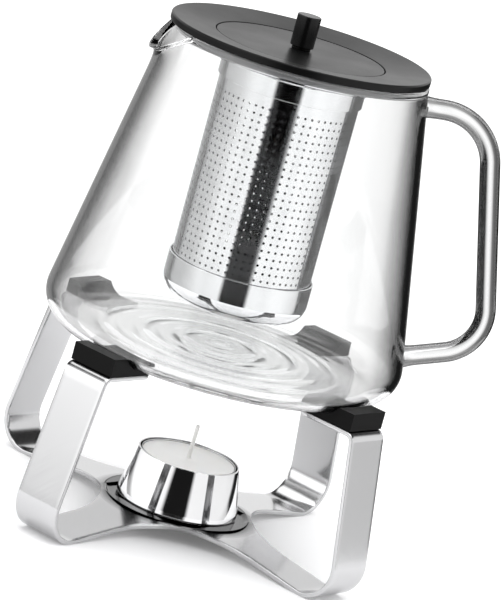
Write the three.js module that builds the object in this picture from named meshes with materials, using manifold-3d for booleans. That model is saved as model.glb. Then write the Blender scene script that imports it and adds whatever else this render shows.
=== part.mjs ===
// Conical glass teapot with a lift-out infuser, standing on a four-legged tealight warmer.
// Millimetres, +Z up. The jug's axis is vertical, the handle points to +X and the spout to -X.
// The model is centred on its own bounding box, so the jug's axis lies a little to the -X side.
import * as THREE from "three";
import { mergeVertices } from "three/addons/utils/BufferGeometryUtils.js";
import Module from "manifold-3d";

const wasm = await Module();
wasm.setup();

// ---- Driving dimensions ------------------------------------------------------------------
const GAP = 0.3; // clearance between two pieces that rest on each other
const EASE = 0.3; // chamfer of fine edges
const DEG = Math.PI / 180;

// Warmer: one sheet, cut as a four-pointed star and bent up into four legs.
const SHEET = 1.8; // sheet thickness
const ARM_WIDTH = 20.5; // width of each arm, leg and tab
const WAIST_MARGIN = 3.5; // from the pressed seat to the hollow edge between two arms
const FOLD_SHARE = 0.774; // distance of the line where an arm starts to slope, per waist radius
const ARM_SLOPE = 6.9 * DEG; // fall of each arm towards its foot
const FOOT_OVERHANG = 13.6; // from the jug's flat base to the lowest line of each foot
const LOWER_BEND = 14; // outer radius of the bend at each foot
const LEG_LEAN = 9.6 * DEG; // lean of each leg towards the axis
const TOP_BEND = 4; // outer radius of the bend at the top of each leg
const TAB_HEIGHT = 68; // top face of the tabs above the table
const TAB_UNDER_JUG = 8.8; // how far each tab reaches in under the jug's flat base
const RECESS_MARGIN = 2.9; // from the holder's foot to the edge of its pressed seat
const RECESS_DEPTH = 0.6;
const RIVET_RADIUS = 2;
const RIVET_HEAD_RADIUS = 4;
const RIVET_HEAD = 1.2;
const RIVET_CHAMFER = 0.8;

// Pads between the tabs and the jug.
const PAD_SET_BACK = 2.6; // from the tab's outer end to a pad's outer face
const PAD_HEIGHT = 7; // height of a pad's outer face
const PAD_TAIL = 1.7; // pad thickness under the jug's base
const PAD_PEG_RADIUS = 2.5;
const PAD_PEG_BEYOND_TAB_END = 15;
const PAD_PEG_OVER = 0.5; // how far the peg comes out under the tab, and runs into the pad

// Tealight and its holder.
const CANDLE_RADIUS = 19.2;
const CANDLE_HEIGHT = 18.6;
const CANDLE_WALL = 0.5;
const CANDLE_CORNER = 1.2;
const CANDLE_CLEARANCE = 0.6; // to the inside of the holder's rim
const WAX_BELOW_RIM = 0.7;
const WAX_CHAMFER = 0.7;
const WICK_RADIUS = 0.75;
const WICK_ABOVE_WAX = 14;
const SUSTAINER_RADIUS = 6;
const SUSTAINER_SHEET = 0.4;
const SUSTAINER_TUBE = 3;
const HOLDER_WALL = 0.8;
const HOLDER_FLOOR = 1;
const HOLDER_FLARE = 4; // how much wider the foot is than the rim
const HOLDER_FOOT_CHAMFER = 1;
const HOLDER_FOOT_HEIGHT = 3; // steep lower part of the side
const HOLDER_FOOT_DRAFT = 0.4;
const HOLDER_RIM_HEIGHT = 2; // upright upper part of the side

// Jug.
const JUG_HEIGHT = 124.6; // from the foot ring to the rim
const RIM_RADIUS = 51.5; // outside, at the rim
const CONE_TAPER = 0.182; // growth of the radius per millimetre downwards
const CORNER_RADIUS = 12; // outside, between wall and base
const GLASS = 2.2; // wall
const BASE_GLASS = 2.8;
const BASE_DOME = 2; // rise of the base at its centre
const RIM_BEAD = 0.5; // how far the rim's bead stands proud of the wall
const RIM_BEAD_REACH = 2.4; // from the rim down to the bead's lower edge
const SPOUT_OUT = 5.9; // how far the lip stands out from the rim's circle
const SPOUT_DROP = 11.7; // how far the lip lies below the rim
const SPOUT_HALF_ANGLE = 27 * DEG;
const SPOUT_HEIGHT = 34; // wall height over which the spout grows

// Handle, a bent glass rod.
const HANDLE_ROD = 8.1;
const HANDLE_TOP_BELOW_RIM = 9.5; // where the rod's centre line meets the wall
const HANDLE_FOOT_ABOVE_BASE = 16.1;
const HANDLE_TOP_STAND_OFF = 26.2; // from the wall to the top corner of the rod's centre line
const HANDLE_FOOT_STAND_OFF = 31.2; // the same, bottom corner
const HANDLE_TOP_RISE = 2.2; // from the wall up to the top corner
const HANDLE_FOOT_RISE = 10.7; // from the wall up to the bottom corner
const HANDLE_TOP_BEND = 22;
const HANDLE_FOOT_BEND = 17.4;
const HANDLE_ENTRY_BEND = 1; // where the rod turns into the wall

// Lid, cover and knob.
const LID_OVER_RIM = 0.2; // how far the lid stands out past the rim
const LID_EDGE = 3.1;
const LID_CHAMFER = 0.5;
const LID_DISH = 2.3; // fall of the lid's top from its edge to the cover
const MOUTH_STEP = 1.3; // how much narrower the hole under the cover is than the screen
const COVER_LAP = 6.9; // how far the cover lies over the edge of the hole
const COVER_THICKNESS = 2;
const SPIGOT_DEPTH = 3;
const SEAL_THICKNESS = 2.7;
const SEAL_CLEARANCE = 0.5; // to the inside of the rim
const SEAL_LIP = 0.9; // lead-in at the seal's lower edge
const SEAL_DRAFT = 0.5;
const SEAL_BELOW_LID = 0.7;
const COVER_PLUG_DEPTH = 4.5;
const COVER_PLUG_WALL = 2;
const KNOB_RADIUS = 4.7;
const KNOB_HEIGHT = 12.4;
const WASHER_THICKNESS = 0.5;
const WASHER_INSET = 0.6; // how much narrower the washer is than the knob
const SCREW_RADIUS = 1.5;
const SCREW_DEPTH = 8; // thread length inside the knob
const SCREW_HEAD_RADIUS = 2.8;
const SCREW_HEAD = 1.4;
const SCREW_CHAMFER = 0.4;

// Infuser.
const SCREEN_RADIUS = 27.8;
const SCREEN_WALL = 0.6;
const SCREEN_TOP_BELOW_RIM = 15; // lower edge of the collar
const CUP_SEAM_ABOVE_BASE = 37.2; // upper edge of the cup
const CUP_BOTTOM_ABOVE_BASE = 20.6;
const CUP_OVER_COLLAR = 0.2; // how much wider the cup is than the collar
const CUP_CORNER = 9;
const SLEEVE_LAP = 3; // how far the screen reaches into the collar and the cup
const COLLAR_FLANGE = 2;
const COLLAR_BEAD = 0.5; // how far the collar's bead stands proud
const COLLAR_BEAD_HALF = 0.7; // half the bead's height
const COLLAR_BEAD_BELOW_TOP = 4.3;

// ---- Helpers -----------------------------------------------------------------------------
const v2 = (x, y) => new THREE.Vector2(x, y);
const polar = (centre, radius, angle) =>
  v2(centre.x + radius * Math.cos(angle), centre.y + radius * Math.sin(angle));

// Points along an arc, both ends included.
function arc(centre, radius, from, to, steps) {
  return Array.from({ length: steps + 1 }, (_, i) =>
    polar(centre, radius, from + ((to - from) * i) / steps),
  );
}

// A closed geometry as a solid, and back.
function toSolid(geometry) {
  const bare = geometry.index ? geometry.toNonIndexed() : geometry.clone();
  bare.deleteAttribute("normal");
  bare.deleteAttribute("uv");
  const merged = mergeVertices(bare, 1e-4);
  const mesh = new wasm.Mesh({
    numProp: 3,
    vertProperties: new Float32Array(merged.attributes.position.array),
    triVerts: new Uint32Array(merged.index.array),
  });
  return new wasm.Manifold(mesh);
}

function toGeometry(solid) {
  const { vertProperties, triVerts, numProp, numVert } = solid.getMesh();
  const positions = new Float32Array(numVert * 3);
  for (let i = 0; i < numVert; i++)
    positions.set(vertProperties.subarray(i * numProp, i * numProp + 3), i * 3);
  const geometry = new THREE.BufferGeometry();
  geometry.setAttribute("position", new THREE.BufferAttribute(positions, 3));
  geometry.setIndex(new THREE.BufferAttribute(new Uint32Array(triVerts), 1));
  return geometry;
}

// A solid of revolution about Z. The profile runs up its outside and down its inside.
function revolve(profile, segments = 40, closed = true) {
  const points = closed ? [...profile, profile[0]] : profile;
  return new THREE.LatheGeometry(points, segments).rotateX(Math.PI / 2);
}

function cylinder(radius, bottom, top, x = 0, y = 0, segments = 32) {
  const geometry = new THREE.CylinderGeometry(radius, radius, top - bottom, segments);
  return geometry.rotateX(Math.PI / 2).translate(x, y, (bottom + top) / 2);
}

// A flat outline extruded up from one height to another.
function prism(outline, bottom, top) {
  const settings = { depth: top - bottom, bevelEnabled: false };
  return new THREE.ExtrudeGeometry(new THREE.Shape(outline), settings).translate(0, 0, bottom);
}

// ---- Sizes and heights that the pieces share ---------------------------------------------
const padBottom = TAB_HEIGHT + GAP;
const jugBottom = padBottom + PAD_TAIL + GAP;
const rimTop = jugBottom + JUG_HEIGHT;
const lidBottom = rimTop + GAP;
const lidTop = lidBottom + LID_EDGE;
const coverTop = lidTop - LID_DISH;
const coverBottom = coverTop - COVER_THICKNESS;
const spigotBottom = lidBottom - SPIGOT_DEPTH;

// The jug's wall, and the arc between its wall and its base.
const coneLean = Math.atan(CONE_TAPER);
const wallRadius = (height) => RIM_RADIUS + CONE_TAPER * (rimTop - height);
const cornerHeight = jugBottom + CORNER_RADIUS;
const cornerReach = wallRadius(cornerHeight) - CORNER_RADIUS / Math.cos(coneLean);
const cornerCentre = v2(cornerReach, cornerHeight);

// The warmer's plan follows from the jug above it and the tealight's holder in its middle.
const holderRimRadius = CANDLE_RADIUS + CANDLE_CLEARANCE + HOLDER_WALL;
const holderFootRadius = holderRimRadius + HOLDER_FLARE;
const recessRadius = holderFootRadius + RECESS_MARGIN;
const waistRadius = recessRadius + WAIST_MARGIN;
const hubFold = waistRadius * FOLD_SHARE;
const footReach = cornerReach + FOOT_OVERHANG;
const tabEnd = cornerReach - TAB_UNDER_JUG;
const pegReach = tabEnd + PAD_PEG_BEYOND_TAB_END;
const footCentre = v2(footReach, LOWER_BEND * Math.cos(ARM_SLOPE));
const hubBottom =
  (footReach - LOWER_BEND * Math.sin(ARM_SLOPE) - hubFold) * Math.tan(ARM_SLOPE);
const hubTop = hubBottom + SHEET;
const holderBottom = hubTop - RECESS_DEPTH + GAP;
const holderFloorTop = holderBottom + HOLDER_FLOOR;
const candleBottom = holderFloorTop + GAP;
const candleTop = candleBottom + CANDLE_HEIGHT;
const holderTop = candleTop + GAP;

// ---- Materials ---------------------------------------------------------------------------
const paint = (color, roughness, metalness, more = {}) =>
  new THREE.MeshStandardMaterial({ color, roughness, metalness, ...more });
const finishes = {
  glass: () => paint(0xeef2f4, 0.03, 0, { transparent: true, opacity: 0.3 }),
  lid: () => paint(0x18191a, 0.45, 0),
  rubber: () => paint(0x0f1011, 0.7, 0),
  satinSteel: () => paint(0xc9cbcd, 0.3, 1),
  polishedSteel: () => paint(0xd8dadc, 0.08, 1),
  aluminium: () => paint(0xc4c6c8, 0.35, 1),
  wax: () => paint(0xf3f1ea, 0.55, 0),
  cotton: () => paint(0xeeeae0, 0.9, 0),
  silicone: () => paint(0xb9bcbe, 0.6, 0),
};

const assembly = new THREE.Group();
function add(name, shape, finish, spin = 0) {
  const geometry = shape.isBufferGeometry ? shape : toGeometry(shape);
  const mesh = new THREE.Mesh(geometry, finishes[finish]());
  mesh.name = name;
  mesh.rotation.z = spin;
  assembly.add(mesh);
}

// ---- Warmer ------------------------------------------------------------------------------
const topCentreHeight = TAB_HEIGHT - TOP_BEND;
const legRise =
  (topCentreHeight - footCentre.y - (LOWER_BEND - TOP_BEND) * Math.sin(LEG_LEAN)) /
  Math.cos(LEG_LEAN);
const topCentre = v2(
  footReach + (LOWER_BEND - TOP_BEND) * Math.cos(LEG_LEAN) - legRise * Math.sin(LEG_LEAN),
  topCentreHeight,
);

// One side of an arm's section, from the fold to the tab's end. The depth is measured from the
// outer side of the sheet, so 0 gives the outer side and SHEET the inner one. The foot stands on
// a narrow flat that lies level between the arm and the bend.
function armLine(depth) {
  const footAngle = -Math.PI / 2 + ARM_SLOPE;
  return [
    v2(hubFold + depth * Math.tan(ARM_SLOPE / 2), hubBottom + depth),
    polar(footCentre, LOWER_BEND - depth, -Math.PI / 2 - ARM_SLOPE),
    ...arc(footCentre, LOWER_BEND - depth, footAngle, LEG_LEAN, 9),
    ...arc(topCentre, TOP_BEND - depth, LEG_LEAN, Math.PI / 2, 4),
    v2(tabEnd, TAB_HEIGHT - depth),
  ];
}

// Two opposite arms with the hub between them, as one bent strip as wide as the hub.
function bentStrip() {
  const right = [...armLine(0), ...armLine(SHEET).reverse()];
  const left = right.map((p) => v2(-p.x, p.y)).reverse();
  const settings = { depth: 2 * hubFold, bevelEnabled: false };
  const strip = new THREE.ExtrudeGeometry(new THREE.Shape([...right, ...left]), settings);
  return toSolid(strip.translate(0, 0, -hubFold).rotateX(Math.PI / 2));
}

// The cut outline of two opposite arms: parallel edges that run into the hollows between arms.
function armOutline() {
  const half = ARM_WIDTH / 2;
  const bisector = (waistRadius - half) / (1 - Math.SQRT1_2);
  const tangent = bisector * Math.SQRT1_2;
  const radius = tangent - half;
  const end = -Math.PI + Math.asin((tangent - hubFold) / radius);
  const hollow = arc(v2(tangent, tangent), radius, -Math.PI / 2, end, 12);
  const mirror = (points, x, y) => points.map((p) => v2(p.x * x, p.y * y));
  const reach = footReach + 2 * LOWER_BEND;
  return [
    v2(reach, half),
    ...hollow,
    ...mirror(hollow, -1, 1).reverse(),
    v2(-reach, half),
    v2(-reach, -half),
    ...mirror(hollow, -1, -1),
    ...mirror(hollow, 1, -1).reverse(),
    v2(reach, -half),
  ];
}

const legAngles = [45, 135, 225, 315].map((a) => a * DEG);
const strip = bentStrip().intersect(toSolid(prism(armOutline(), -1, TAB_HEIGHT + 1)));
let standFrame = strip
  .rotate([0, 0, 45])
  .add(strip.rotate([0, 0, 135]))
  .subtract(toSolid(cylinder(recessRadius, hubTop - RECESS_DEPTH, hubTop + 1)))
  .subtract(toSolid(cylinder(RIVET_RADIUS + GAP, hubBottom - 1, hubTop + 1)));
for (const angle of legAngles) {
  const x = pegReach * Math.cos(angle);
  const y = pegReach * Math.sin(angle);
  const hole = cylinder(PAD_PEG_RADIUS + GAP, TAB_HEIGHT - SHEET - 1, TAB_HEIGHT + 1, x, y, 20);
  standFrame = standFrame.subtract(toSolid(hole));
}
add("stand_frame", standFrame, "satinSteel");

// ---- Tealight holder and tealight --------------------------------------------------------
const holderSideInside = holderFootRadius - HOLDER_WALL - HOLDER_FOOT_DRAFT;
const holder = revolve([
  v2(RIVET_RADIUS + GAP, holderBottom),
  v2(holderFootRadius - HOLDER_FOOT_CHAMFER, holderBottom),
  v2(holderFootRadius, holderBottom + HOLDER_FOOT_CHAMFER),
  v2(holderFootRadius - HOLDER_FOOT_DRAFT, holderBottom + HOLDER_FOOT_HEIGHT),
  v2(holderRimRadius, holderTop - HOLDER_RIM_HEIGHT),
  v2(holderRimRadius, holderTop - EASE),
  v2(holderRimRadius - EASE, holderTop),
  v2(holderRimRadius - HOLDER_WALL, holderTop),
  v2(holderRimRadius - HOLDER_WALL, holderTop - HOLDER_RIM_HEIGHT),
  v2(holderSideInside, holderBottom + HOLDER_FOOT_HEIGHT),
  v2(holderSideInside, holderFloorTop),
  v2(RIVET_RADIUS + GAP, holderFloorTop),
]);
add("tealight_holder", holder, "polishedSteel");

const rivetHeadTop = hubBottom - GAP;
const rivet = revolve(
  [
    v2(0, rivetHeadTop - RIVET_HEAD),
    v2(RIVET_HEAD_RADIUS - RIVET_CHAMFER, rivetHeadTop - RIVET_HEAD),
    v2(RIVET_HEAD_RADIUS, rivetHeadTop - RIVET_HEAD + RIVET_CHAMFER),
    v2(RIVET_HEAD_RADIUS, rivetHeadTop),
    v2(RIVET_RADIUS, rivetHeadTop),
    v2(RIVET_RADIUS, holderFloorTop),
    v2(0, holderFloorTop),
  ],
  24,
  false,
);
add("holder_rivet", rivet, "satinSteel");

const candleInside = CANDLE_RADIUS - CANDLE_WALL;
const candleCup = revolve(
  [
    v2(0, candleBottom),
    v2(CANDLE_RADIUS - CANDLE_CORNER, candleBottom),
    v2(CANDLE_RADIUS, candleBottom + CANDLE_CORNER),
    v2(CANDLE_RADIUS, candleTop),
    v2(candleInside, candleTop),
    v2(candleInside, candleBottom + CANDLE_CORNER),
    v2(candleInside - CANDLE_CORNER + CANDLE_WALL, candleBottom + CANDLE_WALL),
    v2(0, candleBottom + CANDLE_WALL),
  ],
  40,
  false,
);
add("tealight_cup", candleCup, "aluminium");

// The wax fills the cup round the wick's metal foot.
const sustainerBottom = candleBottom + CANDLE_WALL + GAP;
const sustainerTop = sustainerBottom + SUSTAINER_SHEET;
const waxRadius = candleInside - GAP;
const waxTop = candleTop - WAX_BELOW_RIM;
const tubeRadius = WICK_RADIUS + GAP + SUSTAINER_SHEET;
const wax = revolve(
  [
    v2(SUSTAINER_RADIUS + GAP, sustainerBottom),
    v2(waxRadius - WAX_CHAMFER, sustainerBottom),
    v2(waxRadius, sustainerBottom + WAX_CHAMFER),
    v2(waxRadius, waxTop),
    v2(WICK_RADIUS + GAP, waxTop),
    v2(WICK_RADIUS + GAP, sustainerTop + SUSTAINER_TUBE + GAP),
    v2(tubeRadius + GAP, sustainerTop + SUSTAINER_TUBE + GAP),
    v2(tubeRadius + GAP, sustainerTop + GAP),
    v2(SUSTAINER_RADIUS + GAP, sustainerTop + GAP),
  ],
  40,
);
add("tealight_wax", wax, "wax");

const sustainer = revolve(
  [
    v2(WICK_RADIUS + GAP, sustainerBottom),
    v2(SUSTAINER_RADIUS, sustainerBottom),
    v2(SUSTAINER_RADIUS, sustainerTop),
    v2(tubeRadius, sustainerTop),
    v2(tubeRadius, sustainerTop + SUSTAINER_TUBE),
    v2(WICK_RADIUS + GAP, sustainerTop + SUSTAINER_TUBE),
  ],
  24,
);
add("wick_sustainer", sustainer, "aluminium");
const wick = cylinder(WICK_RADIUS, sustainerBottom, waxTop + WICK_ABOVE_WAX, 0, 0, 12);
add("tealight_wick", wick, "cotton");

// ---- Jug ---------------------------------------------------------------------------------
// The base as shares of its flat radius and of its dome, from the foot ring to the centre.
const domeLine = [
  [0.8, 0],
  [0.5, 0.6],
  [0, 1],
];
const basePoints = (lift) =>
  domeLine.map(([out, rise]) => v2(cornerReach * out, jugBottom + BASE_DOME * rise + lift));

// The lower outside of the jug from the base's centre to the wall, grown by a clearance.
function jugUnderside(clearance) {
  return [
    ...basePoints(-clearance).reverse(),
    ...arc(cornerCentre, CORNER_RADIUS + clearance, -Math.PI / 2, coneLean, 9),
  ];
}

// The lip: near the rim the wall moves out and down, most at the spout's own direction.
function bendSpout(geometry) {
  const p = geometry.attributes.position;
  for (let i = 0; i < p.count; i++) {
    const radius = Math.hypot(p.getX(i), p.getY(i));
    const away = Math.abs(Math.atan2(p.getY(i), -p.getX(i))) / SPOUT_HALF_ANGLE;
    const up = (p.getZ(i) - (rimTop - SPOUT_HEIGHT)) / SPOUT_HEIGHT;
    if (away >= 1 || up <= 0) continue;
    const share = Math.cos((away * Math.PI) / 2);
    const grown = 1 + (SPOUT_OUT * share * up ** 4) / radius;
    p.setX(i, p.getX(i) * grown);
    p.setY(i, p.getY(i) * grown);
    p.setZ(i, p.getZ(i) - SPOUT_DROP * share * up ** 3);
  }
  return geometry;
}

// Heights of the wall's rings, closer together towards the lip.
const wallSteps = 8;
const wallStart = cornerHeight + CORNER_RADIUS * Math.sin(coneLean);
const wallHeights = Array.from({ length: wallSteps }, (_, i) => {
  const left = 1 - (i + 1) / wallSteps;
  return rimTop - RIM_BEAD_REACH - (rimTop - RIM_BEAD_REACH - wallStart) * left ** 1.6;
});
const rimMiddle = v2(wallRadius(rimTop) - GLASS / 2, rimTop - GLASS / 2 - RIM_BEAD);
const jugProfile = [
  ...jugUnderside(0),
  ...wallHeights.map((z) => v2(wallRadius(z), z)),
  ...arc(rimMiddle, GLASS / 2 + RIM_BEAD, 0, Math.PI, 6),
  ...wallHeights.map((z) => v2(wallRadius(z) - GLASS, z)).reverse(),
  ...arc(cornerCentre, CORNER_RADIUS - GLASS, coneLean, -Math.PI / 2, 7),
  ...basePoints(BASE_GLASS),
];
const jugSegments = 56;
add("jug_body", bendSpout(revolve(jugProfile, jugSegments, false)), "glass");

// The jug's outside as a full solid, grown by the gap, for whatever lies against it.
const jugEnvelope = toSolid(
  revolve(
    [...jugUnderside(GAP), v2(wallRadius(rimTop) + GAP, rimTop), v2(0, rimTop)],
    jugSegments,
    false,
  ),
);

// ---- Handle ------------------------------------------------------------------------------
// The rod's centre line: straight runs between corners, each corner rounded by an arc.
function roundedLine(corners, radii) {
  const points = [corners[0]];
  radii.forEach((radius, i) => {
    const corner = corners[i + 1];
    const before = corners[i].clone().sub(corner).normalize();
    const after = corners[i + 2].clone().sub(corner).normalize();
    const halfTurn = Math.acos(before.dot(after)) / 2;
    const middle = before.clone().add(after).normalize();
    const centre = corner.clone().addScaledVector(middle, radius / Math.sin(halfTurn));
    const start = corner.clone().addScaledVector(before, radius / Math.tan(halfTurn));
    const end = corner.clone().addScaledVector(after, radius / Math.tan(halfTurn));
    const from = start.clone().sub(centre).angle();
    const side = Math.sign(before.cross(after));
    points.push(...arc(centre, radius, from, from - side * (Math.PI - 2 * halfTurn), 10));
    points[points.length - 1].copy(end);
  });
  points.push(corners[corners.length - 1]);
  return points;
}

const handleTop = rimTop - HANDLE_TOP_BELOW_RIM;
const handleFoot = jugBottom + HANDLE_FOOT_ABOVE_BASE;
const handleTopWall = wallRadius(handleTop);
const handleFootWall = wallRadius(handleFoot);
const handleLine = roundedLine(
  [
    v2(handleTopWall - HANDLE_ROD, handleTop),
    v2(handleTopWall, handleTop),
    v2(handleTopWall + HANDLE_TOP_STAND_OFF, handleTop + HANDLE_TOP_RISE),
    v2(handleFootWall + HANDLE_FOOT_STAND_OFF, handleFoot + HANDLE_FOOT_RISE),
    v2(handleFootWall, handleFoot),
    v2(handleFootWall - HANDLE_ROD, handleFoot),
  ],
  [HANDLE_ENTRY_BEND, HANDLE_TOP_BEND, HANDLE_FOOT_BEND, HANDLE_ENTRY_BEND],
);
const handlePath = new THREE.CurvePath();
handleLine.slice(1).forEach((point, i) => {
  const from = handleLine[i];
  const start = new THREE.Vector3(from.x, 0, from.y);
  handlePath.add(new THREE.LineCurve3(start, new THREE.Vector3(point.x, 0, point.y)));
});
const rodSection = new THREE.Shape(arc(v2(0, 0), HANDLE_ROD / 2, 0, 2 * Math.PI, 14).slice(1));
const rod = new THREE.ExtrudeGeometry(rodSection, { steps: 48, extrudePath: handlePath });
add("jug_handle", toSolid(rod).subtract(jugEnvelope), "glass");

// ---- Pads --------------------------------------------------------------------------------
const padOuter = topCentre.x + TOP_BEND - PAD_SET_BACK;
const padOutline = [
  v2(tabEnd - GAP, -ARM_WIDTH / 2),
  v2(padOuter, -ARM_WIDTH / 2),
  v2(padOuter, ARM_WIDTH / 2),
  v2(tabEnd - GAP, ARM_WIDTH / 2),
];
const pegBottom = TAB_HEIGHT - SHEET - PAD_PEG_OVER;
const peg = cylinder(PAD_PEG_RADIUS, pegBottom, padBottom + PAD_PEG_OVER, pegReach, 0, 20);
const pad = toSolid(prism(padOutline, padBottom, padBottom + PAD_HEIGHT))
  .subtract(jugEnvelope)
  .add(toSolid(peg));
legAngles.forEach((angle, i) => add("support_pad_" + (i + 1), pad, "rubber", angle));

// ---- Lid, seal, cover and knob -----------------------------------------------------------
const collarRadius = SCREEN_RADIUS + GAP + SCREEN_WALL;
const spigotRadius = RIM_RADIUS - GLASS - SEAL_CLEARANCE - SEAL_THICKNESS - GAP;
const mouthRadius = SCREEN_RADIUS - MOUTH_STEP; // hole under the cover
const coverRadius = mouthRadius + COVER_LAP;
const lidRadius = RIM_RADIUS + LID_OVER_RIM;
const ledge = coverBottom - GAP; // where the cover rests
const lidRing = revolve(
  [
    v2(mouthRadius, spigotBottom),
    v2(spigotRadius, spigotBottom),
    v2(spigotRadius, lidBottom),
    v2(lidRadius - EASE, lidBottom),
    v2(lidRadius, lidBottom + EASE),
    v2(lidRadius, lidTop - LID_CHAMFER),
    v2(lidRadius - LID_CHAMFER, lidTop),
    v2(coverRadius + GAP, coverTop),
    v2(coverRadius + GAP, ledge),
    v2(mouthRadius, ledge),
  ],
  56,
);
add("lid_ring", lidRing, "lid");

const sealInside = spigotRadius + GAP;
const sealOutside = sealInside + SEAL_THICKNESS;
const sealTop = lidBottom - SEAL_BELOW_LID;
const seal = revolve([
  v2(sealInside, spigotBottom),
  v2(sealOutside - SEAL_LIP, spigotBottom),
  v2(sealOutside, spigotBottom + SEAL_LIP),
  v2(sealOutside - SEAL_DRAFT, sealTop),
  v2(sealInside, sealTop),
]);
add("lid_seal", seal, "silicone");

const plugRadius = mouthRadius - GAP;
const plugBottom = coverBottom - COVER_PLUG_DEPTH;
const cover = revolve([
  v2(SCREW_RADIUS + GAP, coverBottom),
  v2(plugRadius - COVER_PLUG_WALL, coverBottom),
  v2(plugRadius - COVER_PLUG_WALL, plugBottom),
  v2(plugRadius, plugBottom),
  v2(plugRadius, coverBottom),
  v2(coverRadius, coverBottom),
  v2(coverRadius, coverTop - EASE),
  v2(coverRadius - EASE, coverTop),
  v2(SCREW_RADIUS + GAP, coverTop),
]);
add("infuser_cover", cover, "lid");

const washerBottom = coverTop + GAP;
const washerTop = washerBottom + WASHER_THICKNESS;
const washer = revolve(
  [
    v2(SCREW_RADIUS + GAP, washerBottom),
    v2(KNOB_RADIUS - WASHER_INSET, washerBottom),
    v2(KNOB_RADIUS - WASHER_INSET, washerTop),
    v2(SCREW_RADIUS + GAP, washerTop),
  ],
  24,
);
add("knob_washer", washer, "rubber");

const knobBottom = washerTop + GAP;
const knobTop = knobBottom + KNOB_HEIGHT;
const knob = revolve(
  [
    v2(SCREW_RADIUS + GAP, knobBottom),
    v2(KNOB_RADIUS - EASE, knobBottom),
    v2(KNOB_RADIUS, knobBottom + EASE),
    v2(KNOB_RADIUS, knobTop - EASE),
    v2(KNOB_RADIUS - EASE, knobTop),
    v2(0, knobTop),
    v2(0, knobBottom + SCREW_DEPTH + GAP),
    v2(SCREW_RADIUS + GAP, knobBottom + SCREW_DEPTH + GAP),
  ],
  32,
);
add("lid_knob", knob, "lid");

const screwHeadTop = coverBottom - GAP;
const screw = revolve(
  [
    v2(0, screwHeadTop - SCREW_HEAD),
    v2(SCREW_HEAD_RADIUS - SCREW_CHAMFER, screwHeadTop - SCREW_HEAD),
    v2(SCREW_HEAD_RADIUS, screwHeadTop - SCREW_HEAD + SCREW_CHAMFER),
    v2(SCREW_HEAD_RADIUS, screwHeadTop),
    v2(SCREW_RADIUS, screwHeadTop),
    v2(SCREW_RADIUS, knobBottom + SCREW_DEPTH),
    v2(0, knobBottom + SCREW_DEPTH),
  ],
  20,
  false,
);
add("knob_screw", screw, "satinSteel");

// ---- Infuser -----------------------------------------------------------------------------
const collarTop = spigotBottom - GAP;
const collarBottom = rimTop - SCREEN_TOP_BELOW_RIM;
const beadHeight = collarTop - COLLAR_BEAD_BELOW_TOP;
const collar = revolve([
  v2(collarRadius - SCREEN_WALL, collarBottom),
  v2(collarRadius, collarBottom),
  v2(collarRadius, beadHeight - COLLAR_BEAD_HALF),
  v2(collarRadius + COLLAR_BEAD, beadHeight),
  v2(collarRadius, beadHeight + COLLAR_BEAD_HALF),
  v2(collarRadius, collarTop - SCREEN_WALL),
  v2(collarRadius + COLLAR_FLANGE, collarTop - SCREEN_WALL),
  v2(collarRadius + COLLAR_FLANGE, collarTop),
  v2(collarRadius - SCREEN_WALL, collarTop),
]);
add("infuser_collar", collar, "polishedSteel");

const cupTop = jugBottom + CUP_SEAM_ABOVE_BASE;
const screen = revolve([
  v2(SCREEN_RADIUS - SCREEN_WALL, cupTop - SLEEVE_LAP),
  v2(SCREEN_RADIUS, cupTop - SLEEVE_LAP),
  v2(SCREEN_RADIUS, collarBottom + SLEEVE_LAP),
  v2(SCREEN_RADIUS - SCREEN_WALL, collarBottom + SLEEVE_LAP),
]);
add("infuser_screen", screen, "satinSteel");

const cupBottom = jugBottom + CUP_BOTTOM_ABOVE_BASE;
const cupRadius = collarRadius + CUP_OVER_COLLAR;
const cupCorner = v2(cupRadius - CUP_CORNER, cupBottom + CUP_CORNER);
const cup = revolve(
  [
    v2(0, cupBottom),
    ...arc(cupCorner, CUP_CORNER, -Math.PI / 2, 0, 7),
    v2(cupRadius, cupTop),
    v2(cupRadius - SCREEN_WALL, cupTop),
    ...arc(cupCorner, CUP_CORNER - SCREEN_WALL, 0, -Math.PI / 2, 7),
    v2(0, cupBottom + SCREEN_WALL),
  ],
  40,
  false,
);
add("infuser_cup", cup, "polishedSteel");

// ---- Placing -----------------------------------------------------------------------------
const handleReach = Math.max(...handleLine.map((p) => p.x)) + HANDLE_ROD / 2;
const jugReach = Math.max(...jugProfile.map((p) => p.x));
assembly.position.x = -(handleReach - jugReach) / 2;
const teapot = new THREE.Group();
teapot.add(assembly);

export default teapot;
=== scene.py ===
import math

import bpy
import bmesh
from mathutils import Matrix, Vector


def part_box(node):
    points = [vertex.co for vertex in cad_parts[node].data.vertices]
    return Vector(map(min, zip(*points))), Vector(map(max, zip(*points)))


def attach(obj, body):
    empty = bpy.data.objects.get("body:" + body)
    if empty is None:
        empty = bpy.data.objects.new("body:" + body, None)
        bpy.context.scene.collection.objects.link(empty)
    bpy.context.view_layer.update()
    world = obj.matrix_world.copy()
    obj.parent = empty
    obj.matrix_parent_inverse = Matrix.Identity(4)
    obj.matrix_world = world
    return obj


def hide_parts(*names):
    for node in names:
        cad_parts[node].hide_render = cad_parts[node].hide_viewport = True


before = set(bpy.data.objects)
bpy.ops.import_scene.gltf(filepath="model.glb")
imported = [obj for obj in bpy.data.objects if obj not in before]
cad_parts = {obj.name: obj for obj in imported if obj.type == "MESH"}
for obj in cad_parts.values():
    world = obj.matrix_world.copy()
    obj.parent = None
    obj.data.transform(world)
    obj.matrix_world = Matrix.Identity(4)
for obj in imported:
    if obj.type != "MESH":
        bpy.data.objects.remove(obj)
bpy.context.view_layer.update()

MM = 0.001
TAU = 2 * math.pi

# ---- Places that come from the frame ------------------------------------------------------
def middle(node):
    low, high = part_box(node)
    return (low + high) / 2


def bottom(node):
    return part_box(node)[0].z


def top(node):
    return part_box(node)[1].z


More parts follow.
